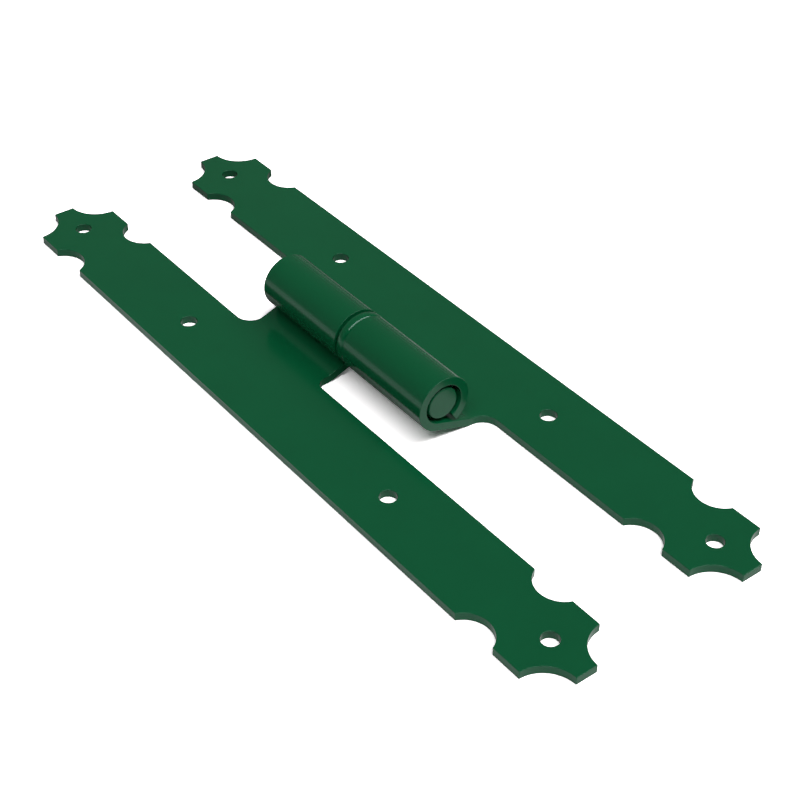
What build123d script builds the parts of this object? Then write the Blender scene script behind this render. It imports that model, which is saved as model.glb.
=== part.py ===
from build123d import *
import os
from math import cos, radians, sin

# Shutter pintle hinge, in millimetres. Both leaves lie on their back faces at Z = 0. The pin runs
# along Y through X = 0, and the middle of the washer between the knuckles is at Y = 0.

# Sheet steel of both leaves
SHEET = 3.0
LEAF_LENGTH = 300.0
LEAF_WIDTH = 30.4
EDGE_BREAK = 0.3

# Place of the pin, above the back face and beside the inner edge of each leaf
PIN_HEIGHT = 14.6
PIN_TO_LEAF = 18.0

# Shaped ends of the strip: a round notch in each long edge and a hollow cut at each corner
NOTCH_RADIUS = 9.0
NOTCH_CENTRE_PAST_EDGE = 3.4
NOTCH_FROM_END = 31.15
CORNER_RADIUS = 11.2

# Screw holes along the middle line of the leaf
HOLE_DIAMETER = 6.0
INNER_HOLE_SPACING = 117.0
OUTER_HOLE_FROM_END = 15.5

# Pin, with a tapered nose at each end
PIN_DIAMETER = 14.0
PIN_RECESS = 0.5
NOSE_DIAMETER = 11.2
NOSE_LENGTH = 3.5
RUNNING_CLEARANCE = 0.1

# Washer that keeps the two knuckles apart
WASHER_THICKNESS = 4.8
WASHER_DIAMETER = 20.0
WASHER_ROUND = 1.6
END_PLAY = 0.1

# Knuckle: a tongue of the sheet bends up out of the leaf and is rolled about the pin
KNUCKLE_LENGTH = 42.0
TONGUE_RISE = 19.0
TONGUE_BEND_RADIUS = 18.0
ROLL_SWEEP = 310.0
OUTER_CORNER_RADIUS = 6.0
INNER_CORNER_RADIUS = 4.0

pin_radius = PIN_DIAMETER / 2
knuckle_start = WASHER_THICKNESS / 2 + END_PLAY
knuckle_end = knuckle_start + KNUCKLE_LENGTH
leaf_outside = PIN_TO_LEAF + LEAF_WIDTH
leaf_middle = PIN_TO_LEAF + LEAF_WIDTH / 2


def sheet_surface(bore_radius, depth):
    """Side view of one surface of the sheet, at a depth below the upper one: flat, bend, tongue, roll."""
    rise = radians(TONGUE_RISE)
    bend_height = TONGUE_BEND_RADIUS * (1 - cos(rise))
    tongue_height = PIN_HEIGHT - SHEET - bend_height - bore_radius * cos(rise)
    tongue_length = tongue_height / sin(rise)
    bend_start = tongue_length * cos(rise) + (TONGUE_BEND_RADIUS - bore_radius) * sin(rise)
    level = SHEET - depth
    flat = Line((-leaf_outside, level), (-bend_start, level))
    bend = JernArc(flat @ 1, flat % 1, TONGUE_BEND_RADIUS + depth, TONGUE_RISE)
    tongue = Line(bend @ 1, bend @ 1 + tongue_length * (bend % 1))
    roll = JernArc(tongue @ 1, tongue % 1, bore_radius + depth, ROLL_SWEEP)
    return [flat, bend, tongue, roll]


def sheet_section(bore_radius):
    """Closed side view of the sheet, between its upper and lower surfaces."""
    upper = sheet_surface(bore_radius, 0)
    lower = sheet_surface(bore_radius, SHEET)
    strip_edge = Line(upper[0] @ 0, lower[0] @ 0)
    roll_end = Line(upper[-1] @ 1, lower[-1] @ 1)
    return make_face(upper + lower + [strip_edge, roll_end])


def leaf_outline(knuckle_radius):
    """Plan view of the sheet: the strip with its shaped ends, screw holes and tongue."""
    strip = Pos(-leaf_middle, 0) * Rectangle(LEAF_WIDTH, LEAF_LENGTH)
    tongue_reach = PIN_TO_LEAF + knuckle_radius + SHEET
    tongue_size = Rectangle(tongue_reach, KNUCKLE_LENGTH, align=(Align.MIN, Align.MIN))
    outline = strip + Pos(-PIN_TO_LEAF, knuckle_start) * tongue_size
    for corner_y, radius in ((knuckle_start, INNER_CORNER_RADIUS), (knuckle_end, OUTER_CORNER_RADIUS)):
        root_corner = outline.vertices().sort_by_distance((-PIN_TO_LEAF, corner_y))[0]
        outline = fillet(root_corner, radius)
    for side in (-1, 1):
        notch_x = side * (LEAF_WIDTH / 2 + NOTCH_CENTRE_PAST_EDGE) - leaf_middle
        corner_x = side * LEAF_WIDTH / 2 - leaf_middle
        for end in (-1, 1):
            outline -= Pos(notch_x, end * (LEAF_LENGTH / 2 - NOTCH_FROM_END)) * Circle(NOTCH_RADIUS)
            outline -= Pos(corner_x, end * LEAF_LENGTH / 2) * Circle(CORNER_RADIUS)
    for hole_y in (INNER_HOLE_SPACING / 2, LEAF_LENGTH / 2 - OUTER_HOLE_FROM_END):
        for end in (-1, 1):
            outline -= Pos(-leaf_middle, end * hole_y) * Circle(HOLE_DIAMETER / 2)
    return outline


def leaf(bore_radius):
    """One leaf and its knuckle, cut to the outline, bent and rolled from one sheet, its edges broken."""
    knuckle_radius = bore_radius + SHEET
    bent_sheet = extrude(Plane.XZ * sheet_section(bore_radius), LEAF_LENGTH / 2, both=True)
    blank = extrude(leaf_outline(knuckle_radius), PIN_HEIGHT + knuckle_radius + SHEET)
    sheet = bent_sheet & blank
    return chamfer(sheet.edges(), EDGE_BREAK)


def pin():
    """Plain round pin, tapered to a nose at both ends."""
    half_length = knuckle_end - PIN_RECESS
    nose_radius = NOSE_DIAMETER / 2
    half_profile = Polyline(
        (0, -half_length),
        (nose_radius, -half_length),
        (pin_radius, NOSE_LENGTH - half_length),
        (pin_radius, half_length - NOSE_LENGTH),
        (nose_radius, half_length),
        (0, half_length),
        close=True,
    )
    return Pos(0, 0, PIN_HEIGHT) * revolve(make_face(half_profile), Axis.Y)


def washer():
    """Thick ring on the pin, with both outer edges rounded."""
    outer = Rot(X=90) * Cylinder(WASHER_DIAMETER / 2, WASHER_THICKNESS)
    outer = fillet(outer.edges(), WASHER_ROUND)
    bore = Rot(X=90) * Cylinder(pin_radius + RUNNING_CLEARANCE, WASHER_THICKNESS)
    return Pos(0, 0, PIN_HEIGHT) * (outer - bore)


# The frame leaf is rolled tight on the pin, and the shutter leaf turns on it and lifts off
pieces = {
    "frame_leaf": leaf(pin_radius),
    "shutter_leaf": Rot(Z=180) * leaf(pin_radius + RUNNING_CLEARANCE),
    "pin": pin(),
    "washer": washer(),
}

os.makedirs("parts", exist_ok=True)
for name, piece in pieces.items():
    export_step(piece, f"parts/{name}.step")
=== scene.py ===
from math import acos, asin, atan2, ceil, cos, pi, radians, sin, sqrt, tan

import bmesh
import bpy
from mathutils import Matrix, Quaternion, Vector


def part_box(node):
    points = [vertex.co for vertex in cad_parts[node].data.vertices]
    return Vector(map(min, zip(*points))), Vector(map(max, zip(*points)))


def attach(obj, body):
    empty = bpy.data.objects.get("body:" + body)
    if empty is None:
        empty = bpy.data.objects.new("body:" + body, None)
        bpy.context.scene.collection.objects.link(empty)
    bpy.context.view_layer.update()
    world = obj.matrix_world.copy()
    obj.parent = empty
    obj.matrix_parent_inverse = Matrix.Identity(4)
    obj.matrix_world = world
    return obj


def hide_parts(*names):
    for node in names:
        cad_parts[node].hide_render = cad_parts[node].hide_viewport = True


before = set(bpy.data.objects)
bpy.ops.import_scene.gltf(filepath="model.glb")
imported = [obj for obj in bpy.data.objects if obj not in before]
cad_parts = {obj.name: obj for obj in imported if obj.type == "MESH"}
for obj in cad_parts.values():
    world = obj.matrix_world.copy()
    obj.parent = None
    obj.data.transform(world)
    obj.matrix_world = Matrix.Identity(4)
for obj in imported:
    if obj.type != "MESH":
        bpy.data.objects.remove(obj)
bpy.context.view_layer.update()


# Leaves
# Each leaf is a strap of 3 mm steel sheet, blanked with its screw holes and tumbled to round its edges a
# little. Its tongue is bent up and rolled into the knuckle, and then it is powder coated in moss green.

MM = 0.001
SHEET = 3.0 * MM
EDGE_ROUND = 0.18 * MM
EDGE_FACETS = 3
ARC_CHORD = 0.45 * MM
SHARP_EDGE = radians(25.0)
SAME_LEVEL = EDGE_ROUND / 10
SAME_PLACE = EDGE_ROUND / 100

leaf_low, leaf_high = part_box("frame_leaf")
HALF_LENGTH = leaf_high.y
OUTER_EDGE = leaf_low.x
INNER_EDGE = -18.0 * MM
MIDDLE_LINE = (OUTER_EDGE + INNER_EDGE) / 2
KNUCKLE_RADIUS = leaf_high.x
FRAME_BORE = KNUCKLE_RADIUS - SHEET
SHUTTER_BORE = -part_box("shutter_leaf")[0].x - SHEET
PIN_HEIGHT = leaf_high.z - KNUCKLE_RADIUS

NOTCH_RADIUS = 9.0 * MM
NOTCH_CENTRE_PAST_EDGE = 3.4 * MM
NOTCH_FROM_END = 31.15 * MM
CORNER_RADIUS = 11.2 * MM
HOLE_RADIUS = 3.0 * MM
INNER_HOLE_FROM_MIDDLE = 58.5 * MM
OUTER_HOLE_FROM_END = 15.5 * MM
HOLE_FACETS = 48

KNUCKLE_START = 2.5 * MM
KNUCKLE_END = 44.5 * MM
INNER_ROOT_RADIUS = 4.0 * MM
OUTER_ROOT_RADIUS = 6.0 * MM
RISE = radians(19.0)
BEND_RADIUS = 8.0 * MM
BEND_FACETS = 14
ROLL_SWEEP = radians(310.0)
ROLL_FACETS = 78


def draw_line(mesh, tip, *place):
    """Draw a straight edge on from the tip of an outline to a place, and give the new tip."""
    new_tip = bmesh.ops.extrude_vert_indiv(mesh, verts=[tip])["verts"][0]
    new_tip.co = place
    return new_tip


def draw_arc(mesh, tip, centre, turn, axis=(0, 0, 1)):
    """Draw a round edge on from the tip of an outline about a centre, and give the new tip."""
    length = (tip.co - Vector(centre)).length * abs(turn)
    steps = max(EDGE_FACETS, ceil(length / ARC_CHORD))
    drawn = bmesh.ops.spin(mesh, geom=[tip], cent=centre, axis=axis, angle=turn, steps=steps)
    return next(part for part in drawn["geom_last"] if isinstance(part, bmesh.types.BMVert))


def draw_notch(mesh, tip, edge, side, y):
    """Draw a long edge up to its round notch, and the notch."""
    half_width = sqrt(NOTCH_RADIUS**2 - NOTCH_CENTRE_PAST_EDGE**2)
    half_turn = acos(NOTCH_CENTRE_PAST_EDGE / NOTCH_RADIUS)
    tip = draw_line(mesh, tip, edge, y - side * half_width, 0)
    return draw_arc(mesh, tip, (edge + side * NOTCH_CENTRE_PAST_EDGE, y, 0), -2 * half_turn)


def draw_corner(mesh, tip, x, y, heading):
    """Draw an edge up to the hollow at a corner of the strap, and the hollow."""
    corner = Vector((x, y, 0))
    tip = draw_line(mesh, tip, *(corner - CORNER_RADIUS * Vector(heading)))
    return draw_arc(mesh, tip, corner, -pi / 2)


def draw_tongue(mesh, tip, tongue_tip):
    """Draw the straight tongue, with a fillet at each side of its root."""
    inner, outer = INNER_ROOT_RADIUS, OUTER_ROOT_RADIUS
    tip = draw_line(mesh, tip, INNER_EDGE, KNUCKLE_START - inner, 0)
    tip = draw_arc(mesh, tip, (INNER_EDGE + inner, KNUCKLE_START - inner, 0), -pi / 2)
    tip = draw_line(mesh, tip, tongue_tip, KNUCKLE_START, 0)
    tip = draw_line(mesh, tip, tongue_tip, KNUCKLE_END, 0)
    tip = draw_line(mesh, tip, INNER_EDGE + outer, KNUCKLE_END, 0)
    return draw_arc(mesh, tip, (INNER_EDGE + outer, KNUCKLE_END + outer, 0), -pi / 2)


def blank_sheet(tongue_tip):
    """The flat blank: the outline given the sheet's thickness, with all its edges rounded."""
    blank = bmesh.new()
    notch_y = HALF_LENGTH - NOTCH_FROM_END
    tip = blank.verts.new((INNER_EDGE, CORNER_RADIUS - HALF_LENGTH, 0))
    tip = draw_notch(blank, tip, INNER_EDGE, 1, -notch_y)
    tip = draw_tongue(blank, tip, tongue_tip)
    tip = draw_notch(blank, tip, INNER_EDGE, 1, notch_y)
    tip = draw_corner(blank, tip, INNER_EDGE, HALF_LENGTH, (0, 1, 0))
    tip = draw_corner(blank, tip, OUTER_EDGE, HALF_LENGTH, (-1, 0, 0))
    tip = draw_notch(blank, tip, OUTER_EDGE, -1, notch_y)
    tip = draw_notch(blank, tip, OUTER_EDGE, -1, -notch_y)
    tip = draw_corner(blank, tip, OUTER_EDGE, -HALF_LENGTH, (0, -1, 0))
    draw_corner(blank, tip, INNER_EDGE, -HALF_LENGTH, (1, 0, 0))
    bmesh.ops.remove_doubles(blank, verts=blank.verts, dist=SAME_LEVEL)
    back = bmesh.ops.contextual_create(blank, geom=blank.edges[:])["faces"]
    front = bmesh.ops.extrude_face_region(blank, geom=back)["geom"]
    front_verts = [part for part in front if isinstance(part, bmesh.types.BMVert)]
    bmesh.ops.translate(blank, verts=front_verts, vec=(0, 0, SHEET))
    bmesh.ops.recalc_face_normals(blank, faces=blank.faces)
    round_edges(blank)
    return blank


def round_edges(mesh):
    """Round every edge that is sharper than the facets of an arc."""
    sharp = [edge for edge in mesh.edges if edge.calc_face_angle(0) > SHARP_EDGE]
    bmesh.ops.bevel(
        mesh,
        geom=sharp,
        affect="EDGES",
        offset=EDGE_ROUND,
        offset_type="OFFSET",
        segments=EDGE_FACETS,
        profile=0.5,
        material=-1,
    )


def punch_hole(blank, y):
    """One screw hole: its wall and two round rims, turned about the hole's middle."""
    wall = MIDDLE_LINE + HOLE_RADIUS
    lip = wall + EDGE_ROUND
    before = set(blank.verts)
    tip = blank.verts.new((lip, y, SHEET))
    tip = draw_arc(blank, tip, (lip, y, SHEET - EDGE_ROUND), -pi / 2, (0, 1, 0))
    tip = draw_line(blank, tip, wall, y, EDGE_ROUND)
    draw_arc(blank, tip, (lip, y, EDGE_ROUND), -pi / 2, (0, 1, 0))
    profile = set(blank.verts) - before
    edges = {edge for vert in profile for edge in vert.link_edges}
    bmesh.ops.spin(
        blank,
        geom=list(profile) + list(edges),
        cent=(MIDDLE_LINE, y, 0),
        axis=(0, 0, 1),
        angle=2 * pi,
        steps=HOLE_FACETS,
        use_merge=True,
    )


def pierce(blank):
    """Punch the screw holes through the flat part of the blank, and fill the flat faces round them."""
    flats = sorted(blank.faces, key=lambda face: face.calc_area())[-2:]
    bmesh.ops.delete(blank, geom=flats, context="FACES_ONLY")
    for y in (INNER_HOLE_FROM_MIDDLE, HALF_LENGTH - OUTER_HOLE_FROM_END):
        punch_hole(blank, y)
        punch_hole(blank, -y)
    for level in (0, SHEET):
        rims = [edge for edge in blank.edges if edge.is_boundary
                and all(abs(vert.co.z - level) < SAME_LEVEL for vert in edge.verts)]
        bmesh.ops.triangle_fill(blank, edges=rims, normal=(0, 0, 1), use_beauty=True)


def folded(place, bore_radius, bend_begin, roll_begin):
    """Where a point of the flat blank goes when the tongue is bent up and rolled about the pin."""
    depth = SHEET - place.z
    if place.x >= roll_begin - SAME_LEVEL:
        radius = bore_radius + depth
        angle = (place.x - roll_begin) / bore_radius + RISE - pi / 2
        return Vector((radius * cos(angle), place.y, PIN_HEIGHT + radius * sin(angle)))
    along = max(0, place.x - bend_begin)
    radius = BEND_RADIUS + depth
    angle = asin(min(along / radius, sin(RISE)))
    lift = radius * (1 - cos(angle)) + (along - radius * sin(angle)) * tan(RISE)
    return place + Vector((0, 0, lift))


def leaf_mesh(bore_radius):
    """One leaf, lying as the frame's does: blanked, cut across where it bends, pierced, bent and rolled."""
    tongue_height = PIN_HEIGHT - SHEET - BEND_RADIUS * (1 - cos(RISE)) - bore_radius * cos(RISE)
    bend_begin = -tongue_height / tan(RISE) - (BEND_RADIUS - bore_radius) * sin(RISE)
    bend_length = (BEND_RADIUS + SHEET) * sin(RISE)
    roll_begin = bore_radius * sin(RISE)
    roll_length = bore_radius * ROLL_SWEEP
    blank = blank_sheet(roll_begin + roll_length)
    cuts = [bend_begin + bend_length * step / BEND_FACETS for step in range(BEND_FACETS + 1)]
    cuts.append(INNER_EDGE + OUTER_ROOT_RADIUS)
    cuts += [roll_begin + roll_length * step / ROLL_FACETS for step in range(ROLL_FACETS)]
    for x in cuts:
        whole = blank.verts[:] + blank.edges[:] + blank.faces[:]
        bmesh.ops.bisect_plane(blank, geom=whole, dist=SAME_PLACE, plane_co=(x, 0, 0), plane_no=(1, 0, 0))
    pierce(blank)
    for vert in blank.verts:
        vert.co = folded(vert.co, bore_radius, bend_begin, roll_begin)
    return blank


MOSS_GREEN = (0.0012, 0.0795, 0.0275, 1)
TONE_CHANGE = 0.07
PAINT_ROUGHNESS = 0.18
GLOSS_CHANGE = 0.02
PAINT_SPECULAR = 0.37
GLOSS_TINT = (0.74, 1.0, 0.96, 1)
PEEL_SCALE = 620
PEEL_DETAIL = 1.5
PEEL_DEPTH = 0.012 * MM
GRAIN_SCALE = 2600
GRAIN_DETAIL = 2
GRAIN_SHARE = 0.25
CLOUD_SCALE = 55
CLOUD_DETAIL = 3


def arithmetic(tree, operation, *values):
    """One step of arithmetic in a node tree, on numbers and on the outputs of other nodes."""
    node = tree.nodes.new("ShaderNodeMath")
    node.operation = operation
    for socket, value in zip(node.inputs, values):
        if isinstance(value, (int, float)):
            socket.default_value = value
        else:
            tree.links.new(value, socket)
    return node.outputs[0]


def powder_coat_group():
    """The look of a powder coat: soft waves of orange peel, fine grain, and slight changes of tone."""
    group = bpy.data.node_groups.new("powder_coat", "ShaderNodeTree")
    sockets = (
        ("Place", "INPUT", "NodeSocketVector"),
        ("Colour", "INPUT", "NodeSocketColor"),
        ("Tone Change", "INPUT", "NodeSocketFloat"),
        ("Roughness", "INPUT", "NodeSocketFloat"),
        ("Peel Scale", "INPUT", "NodeSocketFloat"),
        ("Colour", "OUTPUT", "NodeSocketColor"),
        ("Roughness", "OUTPUT", "NodeSocketFloat"),
        ("Height", "OUTPUT", "NodeSocketFloat"),
    )
    for name, way, kind in sockets:
        group.interface.new_socket(name=name, in_out=way, socket_type=kind)
    link = group.links.new
    given = group.nodes.new("NodeGroupInput").outputs
    result = group.nodes.new("NodeGroupOutput").inputs

    def noise(scale, detail):
        """A random pattern fixed to the piece, with values about a half."""
        node = group.nodes.new("ShaderNodeTexNoise")
        node.inputs["Scale"].default_value = scale
        node.inputs["Detail"].default_value = detail
        link(given["Place"], node.inputs["Vector"])
        return node

    peel = noise(PEEL_SCALE, PEEL_DETAIL)
    link(given["Peel Scale"], peel.inputs["Scale"])
    grain = noise(GRAIN_SCALE, GRAIN_DETAIL).outputs["Fac"]
    cloud = noise(CLOUD_SCALE, CLOUD_DETAIL).outputs["Fac"]
    link(arithmetic(group, "MULTIPLY_ADD", grain, GRAIN_SHARE, peel.outputs["Fac"]), result["Height"])

    # Both patterns change the tone up and down about the paint's own
    cloud = arithmetic(group, "MULTIPLY_ADD", cloud, 2, -1)
    speck = arithmetic(group, "SUBTRACT", grain, 0.5)
    tone = arithmetic(group, "ADD", cloud, speck)
    shade = group.nodes.new("ShaderNodeHueSaturation")
    link(given["Colour"], shade.inputs["Color"])
    link(arithmetic(group, "MULTIPLY_ADD", tone, given["Tone Change"], 1), shade.inputs["Value"])
    link(shade.outputs["Color"], result["Colour"])
    link(arithmetic(group, "MULTIPLY_ADD", cloud, GLOSS_CHANGE, given["Roughness"]), result["Roughness"])
    return group


POWDER_COAT = powder_coat_group()


def coated(name):
    """The powder-coated finish of one kind of piece."""
    material = bpy.data.materials.new(name)
    material.use_nodes = True
    nodes, link = material.node_tree.nodes, material.node_tree.links.new
    shader = nodes["Principled BSDF"]
    coat = nodes.new("ShaderNodeGroup")
    coat.node_tree = POWDER_COAT
    place = nodes.new("ShaderNodeTexCoord")
    bump = nodes.new("ShaderNodeBump")
    link(place.outputs["Object"], coat.inputs["Place"])
    coat.inputs["Colour"].default_value = MOSS_GREEN
    coat.inputs["Tone Change"].default_value = TONE_CHANGE
    coat.inputs["Roughness"].default_value = PAINT_ROUGHNESS
    coat.inputs["Peel Scale"].default_value = PEEL_SCALE
    bump.inputs["Distance"].default_value = PEEL_DEPTH
    shader.inputs["Specular IOR Level"].default_value = PAINT_SPECULAR
    shader.inputs["Specular Tint"].default_value = GLOSS_TINT
    link(coat.outputs["Height"], bump.inputs["Height"])
    link(coat.outputs["Colour"], shader.inputs["Base Color"])
    link(coat.outputs["Roughness"], shader.inputs["Roughness"])
    link(bump.outputs["Normal"], shader.inputs["Normal"])
    return material


def fit_piece(mesh, name, material, node, body):
    """Make a finished mesh the piece that stands for a node, and let it ride with its body."""
    bmesh.ops.remove_doubles(mesh, verts=mesh.verts, dist=SAME_PLACE)
    bmesh.ops.recalc_face_normals(mesh, faces=mesh.faces)
    for face in mesh.faces:
        face.smooth = True
    data = bpy.data.meshes.new(name)
    mesh.to_mesh(data)
    mesh.free()
    data.materials.append(material)
    piece = bpy.data.objects.new(name, data)
    bpy.context.scene.collection.objects.link(piece)
    shading = piece.modifiers.new("shading", "WEIGHTED_NORMAL")
    shading.mode = "FACE_AREA"
    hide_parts(node)
    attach(piece, body)


leaf_paint = coated("leaf_paint")
fit_piece(leaf_mesh(FRAME_BORE), "frame_leaf_sheet", leaf_paint, "frame_leaf", "frame_side")

# The shutter's leaf is the same pressing, rolled to a running fit on the pin and turned end for end
shutter_mesh = leaf_mesh(SHUTTER_BORE)
end_for_end = Matrix.Rotation(pi, 3, "Z")
bmesh.ops.rotate(shutter_mesh, verts=shutter_mesh.verts, cent=(0, 0, 0), matrix=end_for_end)
fit_piece(shutter_mesh, "shutter_leaf_sheet", leaf_paint, "shutter_leaf", "shutter_side")


# Pin
# The pin is a round steel bar, turned to a short tapered nose at both ends, so that the shutter's knuckle
# finds its way onto it. It is driven into the frame leaf's knuckle and coated with the leaf.

PIN_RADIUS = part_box("pin")[1].x
PIN_HALF_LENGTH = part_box("pin")[1].y
NOSE_RADIUS = 5.6 * MM
NOSE_LENGTH = 3.5 * MM
NOSE_ROUND = 0.4 * MM
NOSE_TURN = atan2(NOSE_LENGTH, PIN_RADIUS - NOSE_RADIUS)
END_RADIUS = NOSE_RADIUS - NOSE_ROUND * tan(NOSE_TURN / 2)
END_RIM = 0.2 * MM
TURNED_FACETS = 96


def turned(mesh):
    """Turn a drawn half profile about the pin's axis."""
    bmesh.ops.spin(
        mesh,
        geom=mesh.verts[:] + mesh.edges[:],
        cent=(0, 0, PIN_HEIGHT),
        axis=(0, 1, 0),
        angle=2 * pi,
        steps=TURNED_FACETS,
        use_merge=True,
    )


pin_mesh = bmesh.new()
tip = pin_mesh.verts.new((0, -PIN_HALF_LENGTH, PIN_HEIGHT))
tip = draw_line(pin_mesh, tip, END_RADIUS - END_RIM, -PIN_HALF_LENGTH, PIN_HEIGHT)
tip = draw_line(pin_mesh, tip, END_RADIUS, -PIN_HALF_LENGTH, PIN_HEIGHT)
tip = draw_arc(pin_mesh, tip, (END_RADIUS, NOSE_ROUND - PIN_HALF_LENGTH, PIN_HEIGHT), NOSE_TURN)
tip = draw_line(pin_mesh, tip, PIN_RADIUS, NOSE_LENGTH - PIN_HALF_LENGTH, PIN_HEIGHT)
tip = draw_line(pin_mesh, tip, PIN_RADIUS, PIN_HALF_LENGTH - NOSE_LENGTH, PIN_HEIGHT)
far_centre = Vector((END_RADIUS, PIN_HALF_LENGTH - NOSE_ROUND, PIN_HEIGHT))
taper_end = far_centre + NOSE_ROUND * Vector((sin(NOSE_TURN), cos(NOSE_TURN), 0))
tip = draw_line(pin_mesh, tip, *taper_end)
tip = draw_arc(pin_mesh, tip, far_centre, NOSE_TURN)
tip = draw_line(pin_mesh, tip, END_RADIUS - END_RIM, PIN_HALF_LENGTH, PIN_HEIGHT)
draw_line(pin_mesh, tip, 0, PIN_HALF_LENGTH, PIN_HEIGHT)
turned(pin_mesh)
pin_paint = coated("pin_paint")
fit_piece(pin_mesh, "pintle", pin_paint, "pin", "frame_side")


# Washer
# The washer is a thick steel ring turned with well rounded outer edges. It sits loose on the pin between
# the two knuckles and carries the shutter, and it is coated like the other pieces.

WASHER_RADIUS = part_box("washer")[1].x
WASHER_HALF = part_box("washer")[1].y
WASHER_BORE = 7.1 * MM
WASHER_ROUND = 2.1 * MM
ROUND_CENTRE = WASHER_RADIUS - WASHER_ROUND

washer_mesh = bmesh.new()
tip = washer_mesh.verts.new((WASHER_BORE, -WASHER_HALF, PIN_HEIGHT))
tip = draw_line(washer_mesh, tip, ROUND_CENTRE, -WASHER_HALF, PIN_HEIGHT)
tip = draw_arc(washer_mesh, tip, (ROUND_CENTRE, WASHER_ROUND - WASHER_HALF, PIN_HEIGHT), pi / 2)
tip = draw_line(washer_mesh, tip, WASHER_RADIUS, WASHER_HALF - WASHER_ROUND, PIN_HEIGHT)
tip = draw_arc(washer_mesh, tip, (ROUND_CENTRE, WASHER_HALF - WASHER_ROUND, PIN_HEIGHT), pi / 2)
tip = draw_line(washer_mesh, tip, WASHER_BORE, WASHER_HALF, PIN_HEIGHT)
draw_line(washer_mesh, tip, WASHER_BORE, -WASHER_HALF, PIN_HEIGHT)
turned(washer_mesh)
washer_paint = coated("washer_paint")
fit_piece(washer_mesh, "washer_ring", washer_paint, "washer", "washer")


# Floor
# The hinge lies on a wide white table top, matt and smooth, whose colour is painted darker towards the far
# right to stand in for light that dies away there. The camera sees it brighter than it is lit, as plain
# white, and darker in the hinge's own shadow and in a painted shadow in the gap under the shutter's tongue.

FLOOR_HALF_WIDTH = 30.0
FLOOR_BOUNCE = 0.8
FLOOR_SEEN = 1.8
FLOOR_LIFT = 0.1
FLOOR_WHITE = (1.035, 1.0, 1.015)
MIRRORED_LIFT = 0.05
FALLOFF_REACH = 0.17
# The oval patch of painted shade that the paint mirrors under the knuckles
MIRRORED_SHADE_MIDDLE = (-3.0 * MM, 24.0 * MM)
MIRRORED_SHADE_HALF = (18.0 * MM, 72.0 * MM)
MIRRORED_SHADE_DEPTH = 0.85
# The oval patch of painted shadow in the gap under the near end of the shutter's tongue
GAP_SHADOW_MIDDLE = (7.0 * MM, -43.0 * MM)
GAP_SHADOW_HALF = (11.0 * MM, 9.0 * MM)

floor_mesh = bmesh.new()
bmesh.ops.create_grid(floor_mesh, x_segments=1, y_segments=1, size=FLOOR_HALF_WIDTH)
floor_data = bpy.data.meshes.new("floor")
floor_mesh.to_mesh(floor_data)
floor_mesh.free()
floor = bpy.data.objects.new("floor", floor_data)
bpy.context.scene.collection.objects.link(floor)

floor_material = bpy.data.materials.new("floor_white")
floor_material.use_nodes = True
floor_data.materials.append(floor_material)
tree = floor_material.node_tree
shader = tree.nodes["Principled BSDF"]
shader.inputs["Roughness"].default_value = 1.0
shader.inputs["Specular IOR Level"].default_value = 0.0
shader.inputs["Emission Color"].default_value = (1, 1, 1, 1)

floor_place = tree.nodes.new("ShaderNodeTexCoord")
split = tree.nodes.new("ShaderNodeSeparateXYZ")
tree.links.new(floor_place.outputs["Object"], split.inputs[0])
rays = tree.nodes.new("ShaderNodeLightPath").outputs
seen = arithmetic(tree, "MAXIMUM", rays["Is Camera Ray"], rays["Is Transmission Ray"])
mirrored = rays["Is Glossy Ray"]


def apart_from(middle, half):
    """Grows from 0 at the middle of an oval patch of the floor to 1 at its rim, and stays 1 beyond."""
    apart = 0
    for place, centre, reach in zip(split.outputs, middle, half):
        offset = arithmetic(tree, "DIVIDE", arithmetic(tree, "SUBTRACT", place, centre), reach)
        apart = arithmetic(tree, "MULTIPLY_ADD", offset, offset, apart)
    return arithmetic(tree, "MINIMUM", apart, 1)


# Painted shade: the floor's colour, as the paint mirrors it and as light bounces off it, darkens towards
# the far right
far_right = arithmetic(tree, "ADD", split.outputs["X"], split.outputs["Y"])
spread = arithmetic(tree, "DIVIDE", arithmetic(tree, "MAXIMUM", far_right, 0), FALLOFF_REACH)
spread = arithmetic(tree, "MULTIPLY_ADD", spread, spread, 1)
painted_falloff = arithmetic(tree, "DIVIDE", FLOOR_BOUNCE, arithmetic(tree, "MULTIPLY", spread, spread))
shade = arithmetic(tree, "MAXIMUM", painted_falloff, arithmetic(tree, "MULTIPLY", seen, FLOOR_SEEN))

# Painted shade in the reflections: the floor that the paint mirrors is darkened in an oval patch under the
# knuckles, standing in for their shadow
apart = apart_from(MIRRORED_SHADE_MIDDLE, MIRRORED_SHADE_HALF)
painted_mirrored_shade = arithmetic(tree, "SUBTRACT", 1, arithmetic(tree, "MULTIPLY", apart, apart))
mirrored_darkening = arithmetic(tree, "MULTIPLY", painted_mirrored_shade, arithmetic(tree, "MULTIPLY", mirrored, MIRRORED_SHADE_DEPTH))
left_over = arithmetic(tree, "SUBTRACT", 1, mirrored_darkening)
shade = arithmetic(tree, "MULTIPLY", shade, left_over)

# A faint warmth takes out the green that the paint throws on the floor
white = tree.nodes.new("ShaderNodeCombineColor")
for channel, share in zip(white.inputs, FLOOR_WHITE):
    tree.links.new(arithmetic(tree, "MULTIPLY", shade, share), channel)
tree.links.new(white.outputs[0], shader.inputs["Base Color"])

# A faint glow softens the shadow, except in an oval patch in the narrow gap under the near end of the
# shutter's tongue, where it is taken out to paint the shadow there darker
glow = arithmetic(tree, "MULTIPLY", arithmetic(tree, "MULTIPLY", mirrored, MIRRORED_LIFT), left_over)
glow_outside_gap_shadow = arithmetic(tree, "MULTIPLY", seen, apart_from(GAP_SHADOW_MIDDLE, GAP_SHADOW_HALF))
glow = arithmetic(tree, "MULTIPLY_ADD", glow_outside_gap_shadow, FLOOR_LIFT, glow)
tree.links.new(glow, shader.inputs["Emission Strength"])


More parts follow.
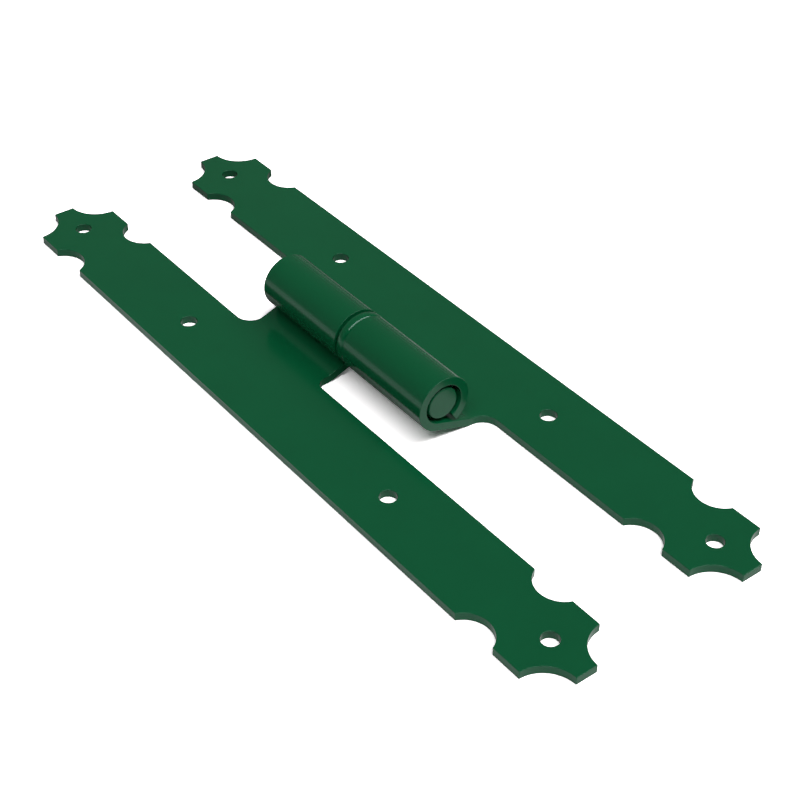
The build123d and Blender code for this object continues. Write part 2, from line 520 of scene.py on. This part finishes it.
# Light
# A large soft box hangs overhead, a little towards the camera, in a studio that is dark in front and dim
# behind. The knuckles mirror the floor in their rounds and ends, and a pale strip at the horizon.

BOX_MIDDLE = (0.165, -0.44)
BOX_HALF = (1.065, 0.19)
BOX_STRENGTH = 8.1
FRONT_STRENGTH = 0.025
BEHIND_STRENGTH = 0.19
HORIZON_TOP = sin(radians(2.0))
HORIZON_STRENGTH = 0.7

world = bpy.data.worlds.new("studio")
bpy.context.scene.world = world
world.use_nodes = True
tree = world.node_tree

view = tree.nodes.new("ShaderNodeTexCoord")
split = tree.nodes.new("ShaderNodeSeparateXYZ")
tree.links.new(view.outputs["Generated"], split.inputs[0])
x, y, z = split.outputs
across = arithmetic(tree, "COMPARE", arithmetic(tree, "DIVIDE", x, z), BOX_MIDDLE[0], BOX_HALF[0])
along = arithmetic(tree, "COMPARE", arithmetic(tree, "DIVIDE", y, z), BOX_MIDDLE[1], BOX_HALF[1])
above = arithmetic(tree, "GREATER_THAN", z, 0)
box = arithmetic(tree, "MULTIPLY", arithmetic(tree, "MULTIPLY", across, along), above)
behind = arithmetic(tree, "GREATER_THAN", y, 0)
dim = arithmetic(tree, "MULTIPLY_ADD", behind, BEHIND_STRENGTH - FRONT_STRENGTH, FRONT_STRENGTH)
studio = arithmetic(tree, "MULTIPLY_ADD", box, BOX_STRENGTH, dim)

rays = tree.nodes.new("ShaderNodeLightPath").outputs
seen = arithmetic(tree, "MAXIMUM", rays["Is Camera Ray"], rays["Is Transmission Ray"])
level = arithmetic(tree, "LESS_THAN", z, HORIZON_TOP)
horizon = arithmetic(tree, "MULTIPLY", rays["Is Glossy Ray"], level)
backdrop = arithmetic(tree, "MULTIPLY_ADD", horizon, HORIZON_STRENGTH, seen)
strength = arithmetic(tree, "MAXIMUM", studio, backdrop)
tree.links.new(strength, tree.nodes["Background"].inputs["Strength"])
tree.nodes["Background"].inputs["Color"].default_value = (1, 1, 1, 1)


# Camera
# The photograph was taken from the frame leaf's side and the shutter knuckle's end, looking down at 38
# degrees. Its place, lens and slight roll come from the perspective of the two leaves.

CAMERA_PLACE = Vector((-268.246, -369.475, 351.445)) * MM
CAMERA_AIM = Vector((1.277, -19.552, 0)) * MM
CAMERA_ROLL = 0.00373
LENS = 75.464
SENSOR_WIDTH = 36
NEAREST_SEEN = 10 * MM

camera_data = bpy.data.cameras.new("camera")
camera_data.lens = LENS
camera_data.sensor_width = SENSOR_WIDTH
camera_data.clip_start = NEAREST_SEEN
camera = bpy.data.objects.new("camera", camera_data)
bpy.context.scene.collection.objects.link(camera)
camera.location = CAMERA_PLACE
camera.rotation_mode = "QUATERNION"
aimed = (CAMERA_AIM - CAMERA_PLACE).to_track_quat("-Z", "Y")
camera.rotation_quaternion = aimed @ Quaternion((0, 0, 1), CAMERA_ROLL)
bpy.context.scene.camera = camera
bpy.context.scene.view_settings.view_transform = "Standard"
